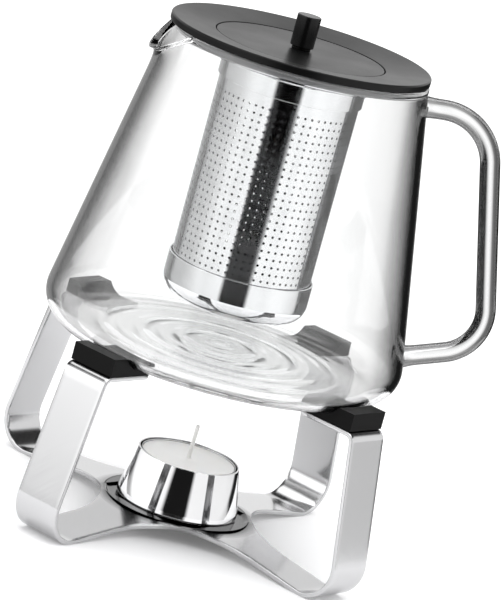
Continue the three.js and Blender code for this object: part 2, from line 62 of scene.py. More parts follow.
def half_width(node):
    low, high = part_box(node)
    return (high.y - low.y) / 2


AXIS_X = middle("lid_ring").x  # the jug's axis
AXIS = Vector((AXIS_X, 0, 0))
LID_TOP = top("lid_ring")
RIM_TOP = top("jug_body")
JUG_BOTTOM = bottom("jug_body")

# ---- Sizes that the frame doesn't state, in metres ----------------------------------------
RIM_RADIUS = 51.5 * MM
CONE_TAPER = 0.182
CONE_LEAN = math.atan(CONE_TAPER)
CORNER_RADIUS = 12 * MM
GLASS = 2.2 * MM
BASE_GLASS = 2.8 * MM
BASE_DOME = 2 * MM
RIM_BEAD = 0.5 * MM
SPOUT_OUT = 5.9 * MM
SPOUT_DROP = 11.7 * MM
SPOUT_HALF_ANGLE = math.radians(27)
SPOUT_HEIGHT = 34 * MM
HANDLE_ROD = 8.1 * MM

SHEET = 1.8 * MM
ARM_HALF = 10.25 * MM
WAIST_RADIUS = 31 * MM
HUB_FOLD = 24 * MM
ARM_SLOPE = math.radians(6.9)
FOOT_REACH = 73.4 * MM
LOWER_BEND = 14 * MM
LEG_LEAN = math.radians(9.6)
TOP_BEND = 4 * MM
TAB_END = 51 * MM
TAB_HEIGHT = top("stand_frame")
LEG_ANGLES = [math.radians(a) for a in (45, 135, 225, 315)]


# ---- Mesh helpers -------------------------------------------------------------------------
ON_AXIS = 1e-6  # a radius below this counts as a point on the axis
SHARP_ANGLE = math.radians(40)


def new_object(name, verts, faces, material, smooth=True):
    """A mesh object with its faces pointing out."""
    mesh = bpy.data.meshes.new(name)
    mesh.from_pydata([tuple(v) for v in verts], [], faces)
    bm = bmesh.new()
    bm.from_mesh(mesh)
    bmesh.ops.recalc_face_normals(bm, faces=bm.faces)
    bm.to_mesh(mesh)
    bm.free()
    mesh.materials.append(material)
    for face in mesh.polygons:
        face.use_smooth = smooth
    mesh.set_sharp_from_angle(angle=SHARP_ANGLE)
    obj = bpy.data.objects.new(name, mesh)
    bpy.context.scene.collection.objects.link(obj)
    return obj


def arc(cx, cz, radius, start, end, steps):
    """Points along an arc, both ends included."""
    return [
        (cx + radius * math.cos(start + (end - start) * i / steps),
         cz + radius * math.sin(start + (end - start) * i / steps))
        for i in range(steps + 1)
    ]


def rounded(corners, closed=False, steps=5):
    """An outline from (r, z, radius) corners, each rounded by its own radius. A short straight
    step beside each rounding keeps the shading of the flats flat."""
    count = len(corners)
    points = []
    for i, (x, z, radius) in enumerate(corners):
        if radius <= 0 or (not closed and i in (0, count - 1)):
            points.append((x, z))
            continue
        here = Vector((x, z))
        before = Vector(corners[i - 1][:2]) - here
        after = Vector(corners[(i + 1) % count][:2]) - here
        room = 0.48 * min(before.length, after.length)
        before.normalize()
        after.normalize()
        half = math.acos(max(-1, min(1, before.dot(after)))) / 2
        reach = min(radius / math.tan(half), room)
        size = reach * math.tan(half)
        centre = here + (before + after).normalized() * (size / math.sin(half))
        start = here + before * reach
        end = here + after * reach
        from_angle = math.atan2(start.y - centre.y, start.x - centre.x)
        turn = math.atan2(end.y - centre.y, end.x - centre.x) - from_angle
        turn = (turn + math.pi) % TAU - math.pi
        flat = min(0.12 * MM, 0.3 * (room / 0.48 - reach))
        points.append(tuple(start + before * flat))
        points += arc(centre.x, centre.y, size, from_angle, from_angle + turn, steps)
        points.append(tuple(end + after * flat))
    return points


def band(a, b):
    """Faces between two closed rings with the same number of points."""
    count = len(a)
    return [(a[i], a[(i + 1) % count], b[(i + 1) % count], b[i]) for i in range(count)]


def strip(a, b):
    """Faces between two open rows with the same number of points."""
    return [(a[i], a[i + 1], b[i + 1], b[i]) for i in range(len(a) - 1)]


def add_turned(verts, faces, profile, centre, segments, closed=False):
    """Adds a profile turned about a vertical line. A point on the line becomes one vertex."""
    rings = []
    for r, z in profile:
        if r < ON_AXIS:
            rings.append([len(verts)])
            verts.append((centre.x, centre.y, z))
            continue
        rings.append(list(range(len(verts), len(verts) + segments)))
        verts += [
            (centre.x + r * math.cos(TAU * i / segments), centre.y + r * math.sin(TAU * i / segments), z)
            for i in range(segments)
        ]
    pairs = list(zip(rings, rings[1:])) + ([(rings[-1], rings[0])] if closed else [])
    for a, b in pairs:
        for i in range(segments):
            j = (i + 1) % segments
            loop = [a[i % len(a)], a[j % len(a)], b[j % len(b)], b[i % len(b)]]
            unique = list(dict.fromkeys(loop))
            if len(unique) > 2:
                faces.append(unique)


def revolve(name, profile, material, closed=True, segments=128):
    """A smooth solid of revolution about the jug's axis. An open profile starts and ends on it."""
    verts, faces = [], []
    add_turned(verts, faces, profile, AXIS, segments, closed)
    return new_object(name, verts, faces, material)


def place(obj, body, slot, *replaced):
    """Says what the piece rides on and which CAD nodes it stands for; slot, the finish, is not used."""
    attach(obj, body)
    if replaced:
        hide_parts(*replaced)
    return obj


# ---- Materials ----------------------------------------------------------------------------
class Paint:
    """A Principled material with the few procedural nodes that the finishes share."""

    def __init__(self, name, **values):
        self.material = bpy.data.materials.new(name)
        self.material.use_nodes = True
        self.tree = self.material.node_tree
        self.shader = self.tree.nodes["Principled BSDF"]
        for socket, value in values.items():
            self.shader.inputs[socket.replace("_", " ")].default_value = value
        self.coords = self.tree.nodes.new("ShaderNodeTexCoord").outputs["Object"]

    def node(self, kind, links=None, **values):
        node = self.tree.nodes.new("ShaderNode" + kind)
        for key, value in values.items():
            if hasattr(node, key):
                setattr(node, key, value)
            else:
                node.inputs[key.replace("_", " ")].default_value = value
        for key, source in (links or {}).items():
            self.tree.links.new(source, node.inputs[key])
        return node

    def stretched(self, scale, source=None):
        mapping = self.node("Mapping", {"Vector": source or self.coords})
        mapping.inputs["Scale"].default_value = scale
        return mapping.outputs[0]

    def noise(self, scale, detail=4.0, roughness=0.55, source=None):
        return self.node("TexNoise", {"Vector": source or self.coords},
                         Scale=scale, Detail=detail, Roughness=roughness).outputs["Fac"]

    def span(self, value, low, high, from_low=0.3, from_high=0.7):
        made = self.node("MapRange", {"Value": value})
        limits = {"From Min": from_low, "From Max": from_high, "To Min": low, "To Max": high}
        for name, number in limits.items():
            made.inputs[name].default_value = number
        return made.outputs["Result"]

    def tint(self, value, dark, light):
        ramp = self.node("ValToRGB", {"Fac": value})
        ramp.color_ramp.elements[0].position = 0.3
        ramp.color_ramp.elements[1].position = 0.7
        ramp.color_ramp.elements[0].color = (*dark, 1)
        ramp.color_ramp.elements[1].color = (*light, 1)
        self.tree.links.new(ramp.outputs["Color"], self.shader.inputs["Base Color"])

    def shade(self, value):
        """Multiplies the colour so far by a grey value."""
        colour = self.shader.inputs["Base Color"]
        mixed = self.node("Mix", data_type="RGBA", blend_type="MULTIPLY", Factor=1.0)
        self.tree.links.new(colour.links[0].from_socket, mixed.inputs["A"])
        self.tree.links.new(value, mixed.inputs["B"])
        self.tree.links.new(mixed.outputs["Result"], colour)

    def rough(self, value, low, high):
        self.tree.links.new(self.span(value, low, high), self.shader.inputs["Roughness"])

    def bump(self, height, distance, strength=1.0):
        made = self.node("Bump", {"Height": height})
        made.inputs["Strength"].default_value = strength
        made.inputs["Distance"].default_value = distance
        self.tree.links.new(made.outputs["Normal"], self.shader.inputs["Normal"])


def grey(value):
    return (value, value, value * 1.01)


# Painted shade: the hub's sheet is painted dark as far out as its pressed seat, in place of the dark
# reflections round the candle holder, and the painted shade fades out between these radii.
SEAT_PAINTED_SHADE = 0.14
SEAT_PAINTED_SHADE_INNER = 29.2 * MM
SEAT_PAINTED_SHADE_OUTER = 34 * MM


def satin_steel():
    """Brushed sheet: the grain runs one way over the flat sheet and follows its bends."""
    p = Paint("satin_steel", Metallic=1.0)
    uv = p.node("UVMap", uv_map="sheet").outputs[0]
    grain = p.noise(1600, 2, 0.5, p.stretched((1, 0.03, 1), uv))
    cloud = p.noise(18, 2)
    p.tint(cloud, grey(0.50), grey(0.53))
    from_centre = p.node("VectorMath", {0: uv}, operation="LENGTH").outputs["Value"]
    # painted shade: darker round the candle holder's seat, in place of dark reflections there
    p.shade(p.span(from_centre, SEAT_PAINTED_SHADE, 1.0, SEAT_PAINTED_SHADE_INNER, SEAT_PAINTED_SHADE_OUTER))
    p.rough(grain, 0.13, 0.17)
    p.bump(grain, 0.0008 * MM, 0.3)
    return p.material


def polished_steel(name, low, high, rough_low, rough_high):
    """Drawn and polished sheet: faint turning lines round the axis and a little handling haze."""
    p = Paint(name, Metallic=1.0)
    rings = p.noise(1500, 2, 0.5, p.stretched((0.02, 0.02, 1)))
    cloud = p.noise(45, 4)
    p.tint(cloud, grey(low), grey(high))
    p.rough(cloud, rough_low, rough_high)
    p.bump(rings, 0.0006 * MM, 0.3)
    return p.material


# Painted shade on the glass: the share of light it lets through by the slant of its face, 0 square on and 1
# edge on. The dark wall edges and the dark lines along the rod are painted shade, in place of refracted dark
# surroundings.
WALL_PAINTED_SHADE_BY_SLANT = [(0.25, 0.97), (0.4, 0.92), (0.56, 0.76), (0.68, 0.46), (0.78, 0.3), (0.86, 0.08),
                 (0.92, 0.01)]
ROD_PAINTED_SHADE_BY_SLANT = [(0.03, 0.97), (0.07, 0.6), (0.12, 0.1), (0.25, 0.08), (0.36, 0.62), (0.47, 0.5),
                (0.55, 0.04), (0.85, 0.0)]


def clear_glass(name, painted_shade_by_slant):
    p = Paint(name, Transmission_Weight=1.0, IOR=1.47)
    waves = p.noise(22, 2, 0.4)
    # painted shade: the glass's colour darkens by the slant of its face, as the table lists
    slant = p.node("LayerWeight", Blend=0.5).outputs["Facing"]
    ramp = p.node("ValToRGB", {"Fac": slant})
    elements = ramp.color_ramp.elements
    elements[0].position, elements[1].position = 0.0, 1.0
    elements[0].color, elements[1].color = (0.97, 0.98, 0.98, 1), (0.0, 0.0, 0.0, 1)
    for position, value in painted_shade_by_slant:
        elements.new(position).color = (value, value, value, 1)
    p.tree.links.new(ramp.outputs["Color"], p.shader.inputs["Base Color"])
    p.rough(p.noise(60), 0.0, 0.006)
    p.bump(waves, 0.05 * MM, 0.25)
    return p.material


def black_plastic(name, dark, light, rough_low, rough_high, specular):
    p = Paint(name, Specular_IOR_Level=specular)
    cloud = p.noise(35, 4)
    p.tint(cloud, grey(dark), grey(light))
    p.rough(cloud, rough_low, rough_high)
    p.bump(p.noise(2600, 3, 0.6), 0.012 * MM, 0.4)
    return p.material


def silicone():
    p = Paint("silicone", Subsurface_Weight=0.2, Subsurface_Radius=(0.002, 0.002, 0.002))
    p.tint(p.noise(90), grey(0.42), grey(0.5))
    p.rough(p.noise(200), 0.4, 0.55)
    p.bump(p.noise(1800), 0.01 * MM, 0.4)
    return p.material


def drawn_aluminium():
    p = Paint("drawn_aluminium", Metallic=1.0)
    lines = p.noise(1400, 2, 0.5, p.stretched((1, 1, 0.05)))
    p.tint(p.noise(150), grey(0.6), grey(0.72))
    p.rough(lines, 0.25, 0.4)
    p.bump(lines, 0.01 * MM, 0.5)
    return p.material


def candle_wax():
    # painted light: the unlit wax is given a faint glow to brighten it
    p = Paint("candle_wax", Subsurface_Weight=0.3, Subsurface_Radius=(0.004, 0.0035, 0.003),
              Emission_Color=(1.0, 0.99, 0.96, 1), Emission_Strength=0.12)
    flow = p.noise(130, 5, 0.6)
    p.tint(flow, (0.98, 0.975, 0.955), (0.99, 0.985, 0.975))
    p.rough(flow, 0.25, 0.45)
    p.bump(flow, 0.35 * MM, 0.6)
    return p.material


def wick_cotton():
    p = Paint("wick_cotton")
    twist = p.node("TexWave", {"Vector": p.stretched((1, 1, 1.6))}, wave_type="BANDS",
                   bands_direction="DIAGONAL", Scale=420.0, Distortion=2.0).outputs["Fac"]
    p.tint(twist, (0.86, 0.855, 0.83), (0.97, 0.965, 0.95))
    p.rough(p.noise(900), 0.7, 0.95)
    p.bump(twist, 0.12 * MM, 0.8)
    return p.material


STEEL = satin_steel()
INFUSER_STEEL = polished_steel("infuser_steel", 0.68, 0.74, 0.04, 0.08)
HOLDER_STEEL = polished_steel("holder_steel", 0.62, 0.68, 0.03, 0.07)
WALL_GLASS = clear_glass("wall_glass", WALL_PAINTED_SHADE_BY_SLANT)
ROD_GLASS = clear_glass("rod_glass", ROD_PAINTED_SHADE_BY_SLANT)
LID_BLACK = black_plastic("lid_black", 0.003, 0.005, 0.28, 0.36, 0.14)
KNOB_BLACK = black_plastic("knob_black", 0.003, 0.005, 0.2, 0.3, 0.25)
PAD_BLACK = black_plastic("pad_black", 0.002, 0.004, 0.4, 0.5, 0.09)
SILICONE = silicone()
ALUMINIUM = drawn_aluminium()
WAX = candle_wax()
COTTON = wick_cotton()


# ---- Warmer: one bent sheet ---------------------------------------------------------------
FOOT_CENTRE = Vector((FOOT_REACH, LOWER_BEND * math.cos(ARM_SLOPE)))
HUB_BOTTOM = (FOOT_REACH - LOWER_BEND * math.sin(ARM_SLOPE) - HUB_FOLD) * math.tan(ARM_SLOPE)
HUB_TOP = HUB_BOTTOM + SHEET
EDGE = 0.35 * MM  # rounding of the sheet's cut edges
TAB_CORNER = 4 * MM
HOLLOW_STEPS = 20
# The pressed seat of the hub, from the outside in: (radius, drop) in millimetres.
HUB_SEAT = [(29.6, 0), (29.3, 0.0), (28.9, -0.12), (28.5, -0.42), (28.0, -0.75), (27.6, -0.86),
            (27.1, -0.9), (20, -0.9), (12, -0.9), (5, -0.9), (2.5, -0.9)]


def arm_section():
    """The sheet's middle line from the fold to the tab's end: (reach, height, lean, flat length)."""
    def bend(centre, radius, start, end, steps):
        middle_radius = radius - SHEET / 2
        return [
            (*p, start + (end - start) * i / steps)
            for i, p in enumerate(arc(centre.x, centre.y, middle_radius, start, end, steps))
        ]

    top_z = TAB_HEIGHT - TOP_BEND
    rise = (top_z - FOOT_CENTRE.y - (LOWER_BEND - TOP_BEND) * math.sin(LEG_LEAN)) / math.cos(LEG_LEAN)
    top_x = FOOT_REACH + (LOWER_BEND - TOP_BEND) * math.cos(LEG_LEAN) - rise * math.sin(LEG_LEAN)
    down = -math.pi / 2 - ARM_SLOPE
    fold = (HUB_FOLD + SHEET / 2 * math.tan(ARM_SLOPE / 2), HUB_BOTTOM + SHEET / 2, -math.pi / 2)
    foot = bend(FOOT_CENTRE, LOWER_BEND, down, LEG_LEAN, 40)
    head = bend(Vector((top_x, top_z)), TOP_BEND, LEG_LEAN, math.pi / 2, 14)
    end = (TAB_END, TAB_HEIGHT - SHEET / 2, math.pi / 2)
    rows = [fold]
    for target_rows, steps in ((foot, 26), (head, 16), ([end], 14)):
        start = rows[-1]
        goal = target_rows[0]
        lean = goal[2]
        for i in range(1, steps):
            share = i / steps
            reach = start[0] + (goal[0] - start[0]) * share
            height = start[1] + (goal[1] - start[1]) * share
            rows.append((reach, height, lean))
        rows += target_rows
    lengths = [0.0]
    for a, b in zip(rows, rows[1:]):
        lengths.append(lengths[-1] + math.hypot(b[0] - a[0], b[1] - a[1]))
    return [(*row, length) for row, length in zip(rows, lengths)]


BISECTOR = (WAIST_RADIUS - ARM_HALF) / (1 - math.sqrt(0.5))
TANGENT = BISECTOR * math.sqrt(0.5)
HOLLOW_RADIUS = TANGENT - ARM_HALF


def arm_half_width(reach, length, total):
    """Half the cut width of an arm at a flat distance from the axis, with the tab's end rounded."""
    half = ARM_HALF
    if reach < TANGENT:
        half = TANGENT - math.sqrt(max(HOLLOW_RADIUS**2 - (TANGENT - reach) ** 2, 0))
    left = total - length
    if left < TAB_CORNER:
        half -= TAB_CORNER - math.sqrt(max(TAB_CORNER**2 - (TAB_CORNER - left) ** 2, 0))
    return half


def edge_profile(half, height, across_steps=14, edge_steps=4):
    """The sheet's section: (across, normal offset) from one top corner round and back."""
    flat = half - EDGE
    tops = [(-flat + 2 * flat * i / across_steps, height / 2) for i in range(across_steps + 1)]
    right = [(flat + EDGE * math.sin(a), height / 2 - EDGE + EDGE * math.cos(a))
             for a in [math.pi / 2 * (i + 1) / edge_steps for i in range(edge_steps)]]
    right_low = [(x, -y) for x, y in reversed(right)]
    bottoms = [(x, -y) for x, y in reversed(tops)]
    left_low = [(-x, y) for x, y in reversed(right_low)]
    left = [(-x, y) for x, y in reversed(right)]
    return tops + right + right_low + bottoms + left_low + left


def build_stand():
    rows = arm_section()
    total = rows[-1][3]
    across = 14
    verts, faces, flat_uv = [], [], []
    fold_rings = []
    for angle in LEG_ANGLES:
        along = Vector((math.cos(angle), math.sin(angle), 0))
        side = Vector((-math.sin(angle), math.cos(angle), 0))
        rings = []
        for reach, height, lean, length in rows:
            half = arm_half_width(HUB_FOLD + length, length, total)
            outward = along * math.cos(lean) + Vector((0, 0, math.sin(lean)))
            middle_point = AXIS + along * reach + Vector((0, 0, height))
            ring = []
            for x, y in edge_profile(half, SHEET, across):
                ring.append(len(verts))
                verts.append(middle_point + side * x - outward * y)
                spot = along * (HUB_FOLD + length) + side * x
                flat_uv.append((spot.x, spot.y))
            rings.append(ring)
        for a, b in zip(rings, rings[1:]):
            faces += band(a, b)
        faces.append(tuple(rings[-1]))
        fold_rings.append(rings[0])

    # The hub: its outline runs along each fold and through each hollow between two arms.
    edge_count = 4
    top_count = across + 1
    ring_size = len(fold_rings[0])
    outline_top, outline_low, sides = [], [], []
    for arm in range(4):
        ring = fold_rings[arm]
        tops = ring[:top_count]
        lows = ring[top_count + 2 * edge_count: 2 * top_count + 2 * edge_count][::-1]
        outline_top += tops
        outline_low += lows
        right_side = ring[top_count - 1: top_count + 2 * edge_count + 1]
        angle = LEG_ANGLES[arm] + math.pi / 4
        centre = AXIS + Vector((math.cos(angle), math.sin(angle), 0)) * BISECTOR
        next_ring = fold_rings[(arm + 1) % 4]
        left_side = [next_ring[0]] + next_ring[ring_size - 1: ring_size - 2 * edge_count - 1: -1]
        left_side.append(next_ring[2 * top_count + 2 * edge_count - 1])
        start = math.atan2(*(Vector(verts[right_side[edge_count]]) - centre).yx)
        end = math.atan2(*(Vector(verts[left_side[edge_count]]) - centre).yx)
        swing = (end - start + math.pi) % TAU - math.pi
        columns = [right_side]
        for i in range(1, HOLLOW_STEPS):
            a = start + swing * i / HOLLOW_STEPS
            ray = Vector((math.cos(a), math.sin(a), 0))
            column = []
            for k in range(len(right_side)):
                level = k if k <= edge_count else 2 * edge_count + 1 - k
                phi = math.pi / 2 * level / edge_count
                z = SHEET / 2 - EDGE + EDGE * math.cos(phi)
                inset = EDGE - EDGE * math.sin(phi)
                if k > edge_count:
                    z = -z
                spot = centre + ray * (HOLLOW_RADIUS + inset)
                column.append(len(verts))
                verts.append(Vector((spot.x, spot.y, HUB_BOTTOM + SHEET / 2 + z)))
                flat_uv.append((spot.x - AXIS.x, spot.y))
            columns.append(column)
            outline_top.append(column[0])
            outline_low.append(column[-1])
        columns.append(left_side)
        for a, b in zip(columns, columns[1:]):
            faces += strip(a, b)

    def disc(outline, lift):
        """Carries one face of the sheet in to the rivet's hole, down the pressed seat."""
        previous = outline
        angles = [math.atan2(verts[i][1] - AXIS.y, verts[i][0] - AXIS.x) for i in outline]
        rings = []
        ring_radius = HUB_SEAT[0][0] * MM
        for share in (0.35, 0.7):
            ring = []
            for i, a in zip(outline, angles):
                edge_point = Vector((verts[i][0], verts[i][1], 0))
                near = AXIS + Vector((math.cos(a), math.sin(a), 0)) * ring_radius
                spot = edge_point.lerp(near, share)
                ring.append(len(verts))
                verts.append(Vector((spot.x, spot.y, lift)))
                flat_uv.append((spot.x - AXIS.x, spot.y))
            rings.append(ring)
        for radius, drop in HUB_SEAT:
            ring = []
            for a in angles:
                ring.append(len(verts))
                x, y = radius * MM * math.cos(a), radius * MM * math.sin(a)
                verts.append(Vector((AXIS.x + x, AXIS.y + y, lift + drop * MM)))
                flat_uv.append((x, y))
            rings.append(ring)
        for ring in rings:
            faces.extend(band(previous, ring))
            previous = ring
        return previous

    faces += band(disc(outline_top, HUB_TOP), disc(outline_low, HUB_BOTTOM))
    stand = new_object("warmer_sheet", verts, faces, STEEL)
    layer = stand.data.uv_layers.new(name="sheet")
    for loop in stand.data.loops:
        layer.data[loop.index].uv = flat_uv[loop.vertex_index]
    return stand


stand = build_stand()
place(stand, "stand", "satin_steel", "stand_frame")


# ---- Jug outline, shared by the glass and the pads ----------------------------------------
CORNER_Z = JUG_BOTTOM + CORNER_RADIUS


def wall_radius(height):
    return RIM_RADIUS + CONE_TAPER * (RIM_TOP - height)


CORNER_REACH = wall_radius(CORNER_Z) - CORNER_RADIUS / math.cos(CONE_LEAN)


def underside_height(radius):
    """The jug's outer underside at a distance from its axis."""
    if radius <= CORNER_REACH:
        share = radius / CORNER_REACH
        return JUG_BOTTOM + BASE_DOME * (1 - share**2) ** 2
    inside = min(radius - CORNER_REACH, CORNER_RADIUS * 0.999)
    return CORNER_Z - math.sqrt(CORNER_RADIUS**2 - inside**2)


# ---- Pads ---------------------------------------------------------------------------------
PAD_BOTTOM = TAB_HEIGHT + 0.3 * MM
PAD_TOP = top("support_pad_1")
PAD_CLEARANCE = 0.3 * MM
PAD_INSET = 1.4 * MM  # from the tab's end to the pad's inner edge
PAD_EDGE = 0.35 * MM
PEG_REACH = 66 * MM
PEG_RADIUS = 2.5 * MM
PEG_OVERLAP = 0.2 * MM  # how far the peg runs up into the pad


def build_pad(index, angle):
    """A block whose top is hollowed to the jug's corner. Its rows follow circles about the axis,
    so that the crease between the seat and the flat outer part stays clean."""
    low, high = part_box("support_pad_%d" % (index + 1))
    # the outer corner of the block lies at (outer, half width) in the arm's own directions
    far = Vector((max(abs(low.x - AXIS_X), abs(high.x - AXIS_X)), max(abs(low.y), abs(high.y))))
    outer = (far.x + far.y) / math.sqrt(2) - ARM_HALF
    inner = TAB_END + PAD_INSET
    crease = inner
    while underside_height(crease) - PAD_CLEARANCE < PAD_TOP and crease < outer - 2 * MM:
        crease += 0.02 * MM
    reaches = [inner + (crease - inner) * (i / 20) for i in range(21)]
    across = [ARM_HALF * (-1 + 2 * j / 24) for j in range(25)]
    along_dir = Vector((math.cos(angle), math.sin(angle), 0))
    side_dir = Vector((-math.sin(angle), math.cos(angle), 0))
    verts, faces = [], []
    tops, lows = [], []
    for i, reach in enumerate(reaches + [None] * 4):
        row_top, row_low = [], []
        for y in across:
            if reach is not None:
                x = math.sqrt(reach**2 - y**2)
                z = min(PAD_TOP, underside_height(reach) - PAD_CLEARANCE)
            else:
                share = (i - len(reaches) + 1) / 4
                x = math.sqrt(crease**2 - y**2) * (1 - share) + outer * share
                z = PAD_TOP
            spot = AXIS + along_dir * x + side_dir * y
            row_top.append(len(verts))
            verts.append(Vector((spot.x, spot.y, z)))
            row_low.append(len(verts))
            verts.append(Vector((spot.x, spot.y, PAD_BOTTOM)))
        tops.append(row_top)
        lows.append(row_low)
    for a, b in zip(tops, tops[1:]):
        faces += strip(a, b)
    for a, b in zip(lows, lows[1:]):
        faces += [(a[j], b[j], b[j + 1], a[j + 1]) for j in range(len(a) - 1)]
    for t, l in ((tops[0], lows[0]), (tops[-1], lows[-1])):
        faces += strip(t, l)
    for j in (0, -1):
        for i in range(len(tops) - 1):
            faces.append((tops[i][j], tops[i + 1][j], lows[i + 1][j], lows[i][j]))
    # the peg through the tab's hole
    peg_bottom, peg_top = bottom("support_pad_1"), PAD_BOTTOM + PEG_OVERLAP
    peg = rounded([(0, peg_bottom, 0), (PEG_RADIUS, peg_bottom, 0.3 * MM),
                   (PEG_RADIUS, peg_top, 0), (0, peg_top, 0)], steps=3)
    add_turned(verts, faces, peg, AXIS + along_dir * PEG_REACH, 32)
    pad = new_object("pad_%d" % (index + 1), verts, faces, PAD_BLACK)
    bevel = pad.modifiers.new("edges", "BEVEL")
    bevel.width = PAD_EDGE
    bevel.segments = 3
    bevel.limit_method = "ANGLE"
    bevel.angle_limit = math.radians(28)
    bevel.harden_normals = True
    return pad


for index, angle in enumerate(LEG_ANGLES):
    place(build_pad(index, angle), "stand", "pad_rubber", "support_pad_%d" % (index + 1))


# ---- Tealight holder, rivet and tealight --------------------------------------------------
holder_low, holder_top = bottom("tealight_holder"), top("tealight_holder")
foot_radius = half_width("tealight_holder")
rim_radius = 20.6 * MM
holder_wall = 0.8 * MM
floor_top = holder_low + 1 * MM
rivet_hole = 2.3 * MM
inner_foot = foot_radius - holder_wall - 0.4 * MM
holder = revolve("candle_holder", rounded([
    (rivet_hole, holder_low, 0.1 * MM),
    (foot_radius, holder_low, 0.9 * MM),
    (foot_radius - 0.35 * MM, holder_low + 2.6 * MM, 3 * MM),
    (rim_radius, holder_top - 0.2 * MM, 0.0),
    (rim_radius - 0.1 * MM, holder_top, 0.25 * MM),
    (rim_radius - holder_wall, holder_top, 0.25 * MM),
    (rim_radius - holder_wall, holder_top - 2 * MM, 0.8 * MM),
    (inner_foot, holder_low + 3 * MM, 1 * MM),
    (inner_foot, floor_top, 0.5 * MM),
    (rivet_hole, floor_top, 0.1 * MM),
], closed=True), HOLDER_STEEL)
place(holder, "stand", "holder_steel", "tealight_holder")

rivet_low, rivet_top = bottom("holder_rivet"), top("holder_rivet")
rivet_head, rivet_shank = 4 * MM, 2 * MM
head_top = HUB_BOTTOM + HUB_SEAT[-1][1] * MM - 0.02 * MM  # just under the pressed seat
rivet = revolve("rivet", rounded([
    (0, rivet_low, 0),
    (rivet_head, rivet_low, 0.9 * MM),
    (rivet_head, head_top, 0.1 * MM),
    (rivet_shank, head_top, 0),
    (rivet_shank, rivet_top, 0.2 * MM),
    (0, rivet_top, 0),
]), ALUMINIUM, closed=False, segments=48)
place(rivet, "stand", "satin_steel", "holder_rivet")

candle_low, candle_top = bottom("tealight_cup"), top("tealight_cup")
candle_radius = half_width("tealight_cup")
cup_sheet = 0.35 * MM
candle_cup = revolve("candle_cup", rounded([
    (0, candle_low, 0),
    (candle_radius, candle_low, 1.2 * MM),
    (candle_radius - 0.02 * MM, candle_top, 0.15 * MM),
    (candle_radius - cup_sheet, candle_top, 0.15 * MM),
    (candle_radius - cup_sheet, candle_low + cup_sheet, 1 * MM),
    (0, candle_low + cup_sheet, 0),
]), ALUMINIUM, closed=False, segments=144)
place(candle_cup, "tealight", "tealight_aluminium", "tealight_cup")

wax_low, wax_top = bottom("tealight_wax"), top("tealight_wax")
wax_radius = half_width("tealight_wax") + 0.15 * MM
bore = 1.05 * MM  # the wick's hole
foot_room = 6.3 * MM  # the wax leaves room for the wick's foot
foot_neck = 1.8 * MM
wax_face = wax_top + 0.15 * MM
wax_profile = rounded([
    (foot_room, wax_low, 0.1 * MM), (wax_radius, wax_low, 0.8 * MM), (wax_radius, wax_top, 0.0)],
    steps=4)[:-1]
wax_profile.append((wax_radius, wax_face))
surface_steps = 18
for i in range(1, surface_steps + 1):
    r = wax_radius + (bore - wax_radius) * i / surface_steps
    away = (wax_radius - r) / wax_radius
    climb = 0.5 * MM * math.exp(-((r - bore) / (1.6 * MM)) ** 2)  # the wax rises to the wick
    dip = 0.55 * MM * (1 - math.exp(-away * 9)) - climb
    wax_profile.append((r, wax_face - dip))
neck_top, foot_top = wax_low + 3.8 * MM, wax_low + 0.75 * MM
wax_profile += [(bore, neck_top), (foot_neck, neck_top), (foot_neck, foot_top), (foot_room, foot_top)]
wax = revolve("candle_wax", wax_profile, WAX)
for v in wax.data.vertices:
    if v.co.z > wax_top - 1 * MM:
        x, y = v.co.x - AXIS_X, v.co.y
        r = math.hypot(x, y) / wax_radius
        v.co.z += 0.12 * MM * (1 - r) * math.sin(x * 420 + 1.3) * math.cos(y * 510) * min(1, r * 3)
place(wax, "tealight", "candle_wax", "tealight_wax")


def sweep(name, line, radius, material, sides):
    """A round rod along a line of points. radius is a function of the share of the length."""
    verts, faces, rings = [], [], []
    lengths = [0.0]
    for a, b in zip(line, line[1:]):
        lengths.append(lengths[-1] + (b - a).length)
    tangent = (line[1] - line[0]).normalized()
    across = tangent.orthogonal().normalized()
    for i, point in enumerate(line):
        ahead = line[min(i + 1, len(line) - 1)] - line[max(i - 1, 0)]
        turn = tangent.rotation_difference(ahead.normalized())
        tangent = ahead.normalized()
        across = turn @ across
        up = tangent.cross(across)
        size = radius(lengths[i], lengths[-1])
        rings.append(list(range(len(verts), len(verts) + sides)))
        verts += [point + (across * math.cos(TAU * k / sides) + up * math.sin(TAU * k / sides)) * size
                  for k in range(sides)]
    for a, b in zip(rings, rings[1:]):
        faces += band(a, b)
    faces += [tuple(rings[0]), tuple(rings[-1])]
    return new_object(name, verts, faces, material)


wick_low, wick_top = bottom("tealight_wick"), top("tealight_wick")
wick_line = []
for i in range(41):
    share = i / 40
    z = wick_low + (wick_top - wick_low) * share
    lean = max(0, share - 0.62) ** 1.5 * 1.2 * MM
    wick_line.append(Vector((AXIS_X + lean, -lean * 0.4, z)))
wick_radius = half_width("tealight_wick") * 1.25


def wick_size(s, total):
    """The wick's twist shows as a slight waist every 1.2 mm, and its tip is trimmed."""
    trimmed = 1 if s < total * 0.985 else 0.85
    return wick_radius * (0.96 + 0.05 * math.sin(s * 5200)) * trimmed


wick = sweep("candle_wick", wick_line, wick_size, COTTON, sides=16)
place(wick, "tealight", "wick_cotton", "tealight_wick")

low, high = bottom("wick_sustainer"), top("wick_sustainer")
sustainer = revolve("wick_foot", rounded([
    (1.05 * MM, low, 0.05 * MM), (6 * MM, low, 0.1 * MM), (6 * MM, low + 0.4 * MM, 0.1 * MM),
    (1.45 * MM, low + 0.4 * MM, 0.3 * MM), (1.45 * MM, high, 0.1 * MM), (1.05 * MM, high, 0.1 * MM)],
    closed=True, steps=3), ALUMINIUM, segments=48)
place(sustainer, "tealight", "tealight_aluminium", "wick_sustainer")


